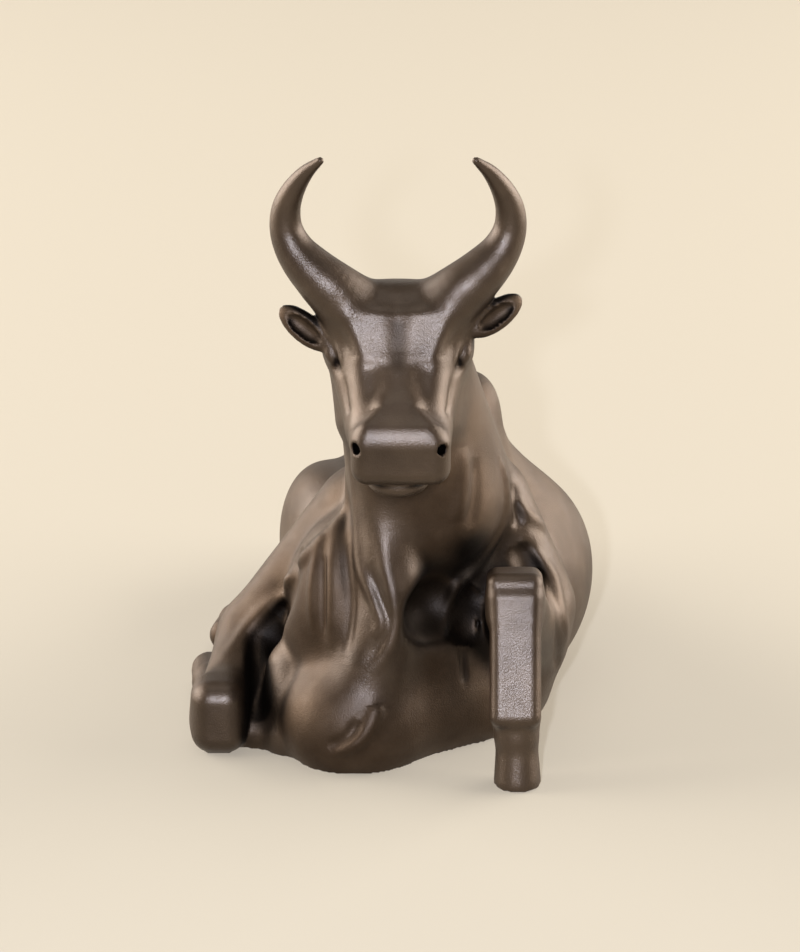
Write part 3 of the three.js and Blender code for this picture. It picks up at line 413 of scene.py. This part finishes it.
left_folds = [
    fold(whole, IN_FRONT, 0.009, 0.010, (0.160, 0.470), (0.170, 0.410), (0.177, 0.350)),
    fold(whole, IN_FRONT, -0.008, 0.011, (0.180, 0.420), (0.187, 0.380), (0.191, 0.345)),
    fold(whole, IN_FRONT, 0.005, 0.014, (0.100, 0.520), (0.100, 0.464), (0.090, 0.400)),
    fold(whole, IN_FRONT, -0.006, 0.012, (0.120, 0.496), (0.120, 0.444), (0.108, 0.384)),
    fold(whole, IN_FRONT, 0.010, 0.011, (0.169, 0.408), (0.158, 0.352), (0.122, 0.300), (0.092, 0.272),
         (0.074, 0.232)),
    fold(whole, IN_FRONT, 0.006, 0.006, (0.125, 0.262), (0.124, 0.230), (0.123, 0.190)),
    fold(whole, IN_FRONT, -0.026, 0.022, (0.124, 0.265), (0.106, 0.228), (0.103, 0.181)),
    fold(whole, IN_FRONT, -0.007, 0.007, (0.101, 0.180), (0.104, 0.120)),
]
arm_folds = [
    fold(whole, BEHIND_SHIN, -0.018, 0.018, (0.189, 0.323), (0.207, 0.286), (0.228, 0.233)),
    fold(whole, BEHIND_SHIN, 0.007, 0.011, (0.204, 0.317), (0.247, 0.263), (0.261, 0.208), (0.267, 0.141)),
    fold(whole, BEHIND_SHIN, -0.009, 0.008, (0.250, 0.205), (0.255, 0.150), (0.257, 0.105)),
    fold(whole, IN_FRONT, 0.006, 0.011, (0.179, 0.405), (0.206, 0.365), (0.236, 0.330)),
]
bull = drawn(whole, dewlap_folds + right_folds + left_folds + arm_folds)


# The face: the eyes in their sockets, the lids and the creases round them, the nostrils, and the ears. All
# of it was cut into the wax of the head or set on it, and cast with it.
def beside_middle(side, *points):
    """Points of a fold on one side of the face, each its distance from the middle and its height."""
    return [(HEAD_MIDDLE + side * x, z) for x, z in points]


for side in (-1, 1):
    aslant = (0, side * 24, side * 30)
    socket = egg(place(side, 0.109, 0.128, 0.681), (0.012, 0.026, 0.029), aslant)
    eye = egg(place(side, 0.099, 0.157, 0.678), (0.013, 0.018, 0.022), aslant)
    nostril = egg(place(side, 0.063, 0.026, 0.565), (0.008, 0.018, 0.009), (0, side * 20, side * 30))
    bull = merge(0.006, carve(0.020, bull, socket), eye)
    bull = carve(0.008, bull, nostril)
    lid = fold(bull, IN_FRONT, 0.0040, 0.008,
               *beside_middle(side, (0.116, 0.700), (0.104, 0.697), (0.091, 0.684), (0.087, 0.664)))
    crease = fold(bull, IN_FRONT, -0.0040, 0.007,
                  *beside_middle(side, (0.085, 0.652), (0.079, 0.615), (0.076, 0.601)))
    bull = drawn(bull, [lid, crease])
brow_groove = fold(bull, IN_FRONT, -0.005, 0.018,
                   (HEAD_MIDDLE, 0.775), (HEAD_MIDDLE, 0.730), (HEAD_MIDDLE, 0.670))
bull = drawn(bull, [brow_groove])
bull = ear(-1, bull, 0.145, 0.716, 0.089, 36)
bull = ear(1, bull, 0.152, 0.736, 0.088, 33)


# The casting's skin: bronze, poured in one piece. The surface of all those forms is followed on a grid that
# is finest round the face, and cut off level with the ground, so that the figure stands on a flat foot.
BLOCK = 6
POINTS_AT_ONCE = 200000
FINE = 0.0042
GRID_GROWTH = 0.05
GROUND_BAND = 0.002
LARGEST_STEP = 0.002


def grid_lines(low, high, near, far, coarse):
    """Lines from low to high, finest between near and far, and up to coarse apart away from there."""
    lines = [low]
    while lines[-1] < high:
        off = max(near - lines[-1], lines[-1] - far, 0)
        lines.append(lines[-1] + min(coarse, FINE + GRID_GROWTH * off))
    while len(lines) % BLOCK != 1:
        lines.append(2 * lines[-1] - lines[-2])
    return np.array(lines)


def distances(form, lines):
    """The form's distance on the grid, worked out only in the blocks that its surface may pass through."""
    shape = [len(line) for line in lines]
    middles = [(line[:-1:BLOCK] + line[BLOCK::BLOCK]) / 2 for line in lines]
    halves = [(line[BLOCK::BLOCK] - line[:-1:BLOCK]) / 2 for line in lines]
    centres = np.stack(np.meshgrid(*middles, indexing="ij"), -1).reshape(-1, 3)
    reach = np.sqrt((np.stack(np.meshgrid(*halves, indexing="ij"), -1).reshape(-1, 3) ** 2).sum(1))
    d = form.distance(centres)
    blocks = [len(m) for m in middles]
    inside = (d < 0).reshape(blocks)
    for axis in range(3):
        inside = np.repeat(inside, BLOCK, axis=axis)
    values = np.ones(shape, np.float32)
    values[:-1, :-1, :-1][inside] = -1
    # The distances are only nearly true, so a block counts as near the surface a little past its own reach.
    corners = np.argwhere((np.abs(d) < 1.15 * reach + 0.008).reshape(blocks)) * BLOCK
    steps = np.stack(np.meshgrid(*[np.arange(BLOCK + 1)] * 3, indexing="ij"), -1).reshape(-1, 3)
    wanted = np.unique(np.ravel_multi_index((corners[:, None] + steps).reshape(-1, 3).T, shape))
    for part in np.array_split(wanted, len(wanted) // POINTS_AT_ONCE + 1):
        index = np.unravel_index(part, shape)
        values.ravel()[part] = form.distance(np.stack([line[i] for line, i in zip(lines, index)], 1))
    return values


def surface(form, lines):
    """Quads round the form, with one vertex in each cell of the grid that its surface passes through."""
    values = distances(form, lines)
    inside = values < 0
    corners = [(a, b, c) for a in (0, 1) for b in (0, 1) for c in (0, 1)]
    size = [n - 1 for n in values.shape]
    count = sum(inside[a:size[0] + a, b:size[1] + b, c:size[2] + c].astype(np.int8) for a, b, c in corners)
    active = (count > 0) & (count < 8)
    cells = np.argwhere(active)
    number = np.full(active.shape, -1, np.int64)
    number[active] = np.arange(len(cells))
    total, crossings = np.zeros((len(cells), 3)), np.zeros(len(cells))
    for corner in corners:
        for axis in range(3):
            if corner[axis]:
                continue
            here = cells + corner
            there = here.copy()
            there[:, axis] += 1
            v, w = values[tuple(here.T)], values[tuple(there.T)]
            cross = (v < 0) != (w < 0)
            share = np.where(cross, v / np.where(v == w, 1, v - w), 0)
            spot = np.stack([line[i] for line, i in zip(lines, here.T)], 1)
            spot[:, axis] += share * (lines[axis][there[:, axis]] - lines[axis][here[:, axis]])
            total[cross] += spot[cross]
            crossings[cross] += 1
    quads = []
    for axis in range(3):
        u, v = (axis + 1) % 3, (axis + 2) % 3
        first, second = [slice(None)] * 3, [slice(None)] * 3
        first[axis], second[axis] = slice(0, -1), slice(1, None)
        edges = np.argwhere(inside[tuple(first)] != inside[tuple(second)])
        edges = edges[(edges[:, u] > 0) & (edges[:, v] > 0)]
        ring = []
        for du, dv in ((1, 1), (0, 1), (0, 0), (1, 0)):
            cell = edges.copy()
            cell[:, u] -= du
            cell[:, v] -= dv
            ring.append(number[tuple(cell.T)])
        quad = np.stack(ring, 1)
        outward = inside[tuple(edges.T)]
        quad[~outward] = quad[~outward][:, ::-1]
        quads.append(quad)
    return total / crossings[:, None], np.vstack(quads)


def standing(form):
    """What of the form is above the ground."""
    return Form(lambda p: np.maximum(form.distance(p), -p[:, 2]), form.low, form.high)


lines = [grid_lines(bull.low[0] - MARGIN, bull.high[0] + MARGIN, -0.13, 0.12, 0.0057),
         grid_lines(bull.low[1] - MARGIN, bull.high[1] + MARGIN, 0.04, 0.18, 0.0100),
         grid_lines(-0.0122, 1.01, 0.48, 0.73, 0.0058)]
points, quads = surface(standing(bull), lines)
clear = points[:, 2] > 2 * GROUND_BAND
points[clear] -= np.clip(step_to(bull, points[clear]), -LARGEST_STEP, LARGEST_STEP)
points[points[:, 2] < GROUND_BAND, 2] = 0
mesh = bpy.data.meshes.new("casting")
mesh.from_pydata(((points - ORIGIN) * HEIGHT).tolist(), [], quads.tolist())
mesh.shade_smooth()
casting = bpy.data.objects.new("casting", mesh)
bpy.context.collection.objects.link(casting)
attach(casting, "root")
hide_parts("bull")


# The patina: dark brown over the bronze, with painted shade that turns it nearly black in the hollows, in
# the recess beside the raised leg and down the middle of the forehead. It is smoother on the head, the
# horns, both knees, the dewlap and the haunch, where hands touch it, and dull elsewhere, over a finely
# pitted cast skin.
HOLLOW_REACHES = (0.015, 0.045, 0.110)
RUBBED_EDGE = 0.012
BROW_HALF_WIDTH = 0.020
BROW_FOOT = 0.63
BROW_TOP = 0.765
BROW_SHADE_STRENGTH = 0.36
RECESS_SHADE_EDGE = 0.018
RECESS_SHADE_STRENGTH = 0.50
NORMAL_PROBE = 1e-3
slope = np.empty_like(points)
for axis in range(3):
    shift = np.zeros(3)
    shift[axis] = NORMAL_PROBE
    slope[:, axis] = bull.distance(points + shift) - bull.distance(points - shift)
outward = slope / np.maximum(np.sqrt((slope * slope).sum(1)), 1e-9)[:, None]


def closeness(form, edge):
    """1 on and inside the form, fading to nothing over a few edges' width outside it."""
    return np.exp(-np.maximum(form.distance(points), 0) / edge)


# Painted shade: how deep each point lies in a hollow, from how near the form comes a little way out along
# its normal.
painted_shade = sum(np.clip(1 - bull.distance(points + outward * reach) / reach, 0, 1)
            for reach in HOLLOW_REACHES) / len(HOLLOW_REACHES)
rubbed = np.maximum.reduce([closeness(form, RUBBED_EDGE)
                            for form in (head, raised_leg, knee, flank, dewlap, right_haunch)])
facing_front = np.clip(-2 * outward[:, 1] - 0.4, 0, 1)
rubbed *= facing_front
height = points[:, 2]
# Painted shade down the middle of the forehead, fading out towards its foot and its top.
brow_shade = np.exp(-((points[:, 0] - HEAD_MIDDLE) / BROW_HALF_WIDTH) ** 2)
brow_shade *= np.clip((height - BROW_FOOT) / 0.05, 0, 1) * np.clip((BROW_TOP - height) / 0.03, 0, 1)
# Painted shade in and round the recess beside the raised leg.
recess_shade = closeness(recess, RECESS_SHADE_EDGE)
painted_shade = np.maximum.reduce([painted_shade, BROW_SHADE_STRENGTH * brow_shade, RECESS_SHADE_STRENGTH * recess_shade])
for name, values in (("painted_shade", painted_shade), ("rubbed", rubbed)):
    layer = mesh.attributes.new(name, "FLOAT", "POINT")
    layer.data.foreach_set("value", values.astype(np.float32))

patina = bpy.data.materials.new("bronze patina")
patina.use_nodes = True
nodes, links = patina.node_tree.nodes, patina.node_tree.links
shader = nodes["Principled BSDF"]
shader.inputs["Metallic"].default_value = 1.0
where = nodes.new("ShaderNodeTexCoord")


def noise(scale, detail, roughness):
    """Cloudy noise that is fixed to the casting."""
    node = nodes.new("ShaderNodeTexNoise")
    node.inputs["Scale"].default_value = scale
    node.inputs["Detail"].default_value = detail
    node.inputs["Roughness"].default_value = roughness
    links.new(where.outputs["Object"], node.inputs["Vector"])
    return node.outputs["Fac"]


def attribute(name):
    """A value that the mesh carries at each of its points."""
    node = nodes.new("ShaderNodeAttribute")
    node.attribute_name = name
    return node.outputs["Fac"]


def spread(source, low, high, to_low, to_high):
    """The source's span from low to high, stretched to another span and held to it."""
    node = nodes.new("ShaderNodeMapRange")
    node.inputs["From Min"].default_value = low
    node.inputs["From Max"].default_value = high
    node.inputs["To Min"].default_value = to_low
    node.inputs["To Max"].default_value = to_high
    links.new(source, node.inputs["Value"])
    return node.outputs["Result"]


def combine(operation, first, second):
    """Two values added or multiplied."""
    node = nodes.new("ShaderNodeMath")
    node.operation = operation
    links.new(first, node.inputs[0])
    links.new(second, node.inputs[1])
    return node.outputs["Value"]


def mix(share, first, second):
    """The first colour, turning into the second as the share goes to 1."""
    node = nodes.new("ShaderNodeMix")
    node.data_type = "RGBA"
    links.new(share, node.inputs["Factor"])
    for socket, colour in ((node.inputs[6], first), (node.inputs[7], second)):
        if isinstance(colour, tuple):
            socket.default_value = (*colour, 1)
        else:
            links.new(colour, socket)
    return node.outputs[2]


# Two browns of the patina, and the near black that the painted shade turns them to.
DARK_BROWN = (0.044, 0.027, 0.016)
LIGHT_BROWN = (0.080, 0.053, 0.034)
PAINTED_SHADE_BLACK = (0.006, 0.004, 0.003)
cloud = noise(38, 5, 0.6)
brown = mix(spread(cloud, 0.35, 0.65, 0.0, 1.0), DARK_BROWN, LIGHT_BROWN)
# The painted shade darkens the brown towards black.
tone = mix(spread(attribute("painted_shade"), 0.20, 0.54, 0.0, 0.94), brown, PAINTED_SHADE_BLACK)
links.new(tone, shader.inputs["Base Color"])
pits = noise(1900, 3, 0.65)
open_skin = combine("MULTIPLY", attribute("rubbed"), spread(attribute("painted_shade"), 0.15, 0.45, 1.0, 0.0))
worn = combine("ADD", open_skin, spread(noise(160, 4, 0.6), 0.3, 0.7, -0.12, 0.12))
links.new(spread(worn, 0.0, 1.0, 0.56, 0.46), shader.inputs["Roughness"])
links.new(spread(worn, 0.0, 1.0, 0.12, 0.62), shader.inputs["Coat Weight"])
links.new(spread(worn, 0.0, 1.0, 0.42, 0.28), shader.inputs["Coat Roughness"])
grain = nodes.new("ShaderNodeBump")
grain.inputs["Strength"].default_value = 0.6
grain.inputs["Distance"].default_value = 0.0002
links.new(pits, grain.inputs["Height"])
links.new(grain.outputs["Normal"], shader.inputs["Normal"])
links.new(grain.outputs["Normal"], shader.inputs["Coat Normal"])
mesh.normals_split_custom_set_from_vertices(outward.tolist())
mesh.materials.append(patina)


# The stage: a wide pale table top, a small lamp beside the camera whose shadow falls back to the right,
# soft light panels at the sides, above and behind, and the camera, which looks down a little on the figure.
AIM = Vector((-0.020, -0.070, 0.0928))
ELEVATION = math.radians(18)
CAMERA_DISTANCE = 1.4
TABLE_COLOUR = (0.30, 0.275, 0.225, 1)
TABLE_GLOW = (0.86, 0.745, 0.60, 1)
COOL_WHITE = (0.80, 0.86, 1.0)
SIDE_WHITE = (1, 0.94, 0.87)
WARM_WHITE = (1, 0.96, 0.90)
toward = Vector((0, -math.cos(ELEVATION), math.sin(ELEVATION)))

top = bpy.data.meshes.new("table top")
top.from_pydata([(-8, -4, 0), (8, -4, 0), (8, 14, 0), (-8, 14, 0)], [], [(0, 1, 2, 3)])
table_top = bpy.data.objects.new("table top", top)
bpy.context.collection.objects.link(table_top)
paper = bpy.data.materials.new("pale table")
paper.use_nodes = True
paper_shader = paper.node_tree.nodes["Principled BSDF"]
paper_shader.inputs["Base Color"].default_value = TABLE_COLOUR
paper_shader.inputs["Roughness"].default_value = 0.9
paper_shader.inputs["Emission Color"].default_value = TABLE_GLOW
paper_shader.inputs["Emission Strength"].default_value = 0.3
paper_shader.inputs["Specular IOR Level"].default_value = 0.1
top.materials.append(paper)


def lamp(name, width, height, energy, colour, at, aim):
    """A light panel that faces what it is aimed at."""
    light = bpy.data.lights.new(name, "AREA")
    light.shape = "RECTANGLE"
    light.size, light.size_y = width, height
    light.energy = energy
    light.color = colour
    holder = bpy.data.objects.new(name, light)
    holder.location = at
    holder.rotation_euler = (at - aim).to_track_quat("Z", "Y").to_euler()
    bpy.context.collection.objects.link(holder)


camera_place = AIM + toward * CAMERA_DISTANCE
lamp("lamp by the camera", 0.03, 0.03, 24, COOL_WHITE, camera_place + Vector((-0.08, 0, 0)), AIM)
for side in (-1, 1):
    lamp("side panel", 2.0, 1.0, 52, SIDE_WHITE, Vector((side * 1.2, 0.6, 0.55)), Vector((0, 0.6, 0.55)))
lamp("top panel", 1.4, 1.4, 8, WARM_WHITE, Vector((0, 0, 1.6)), Vector((0, 0, 0)))
lamp("back panel", 2.4, 0.8, 12, WARM_WHITE, Vector((0, 2.2, 0.9)), Vector((0, 1.2, 0)))

world = bpy.data.worlds.new("room")
bpy.context.scene.world = world
world.use_nodes = True
world.node_tree.nodes["Background"].inputs["Color"].default_value = (0.55, 0.50, 0.44, 1)
world.node_tree.nodes["Background"].inputs["Strength"].default_value = 0.2

camera_data = bpy.data.cameras.new("camera")
camera_data.sensor_width = 36
camera_data.lens = 167.8
camera = bpy.data.objects.new("camera", camera_data)
camera.location = camera_place
camera.rotation_euler = toward.to_track_quat("Z", "Y").to_euler()
bpy.context.collection.objects.link(camera)
bpy.context.scene.camera = camera
bpy.context.scene.view_settings.view_transform = "Standard"
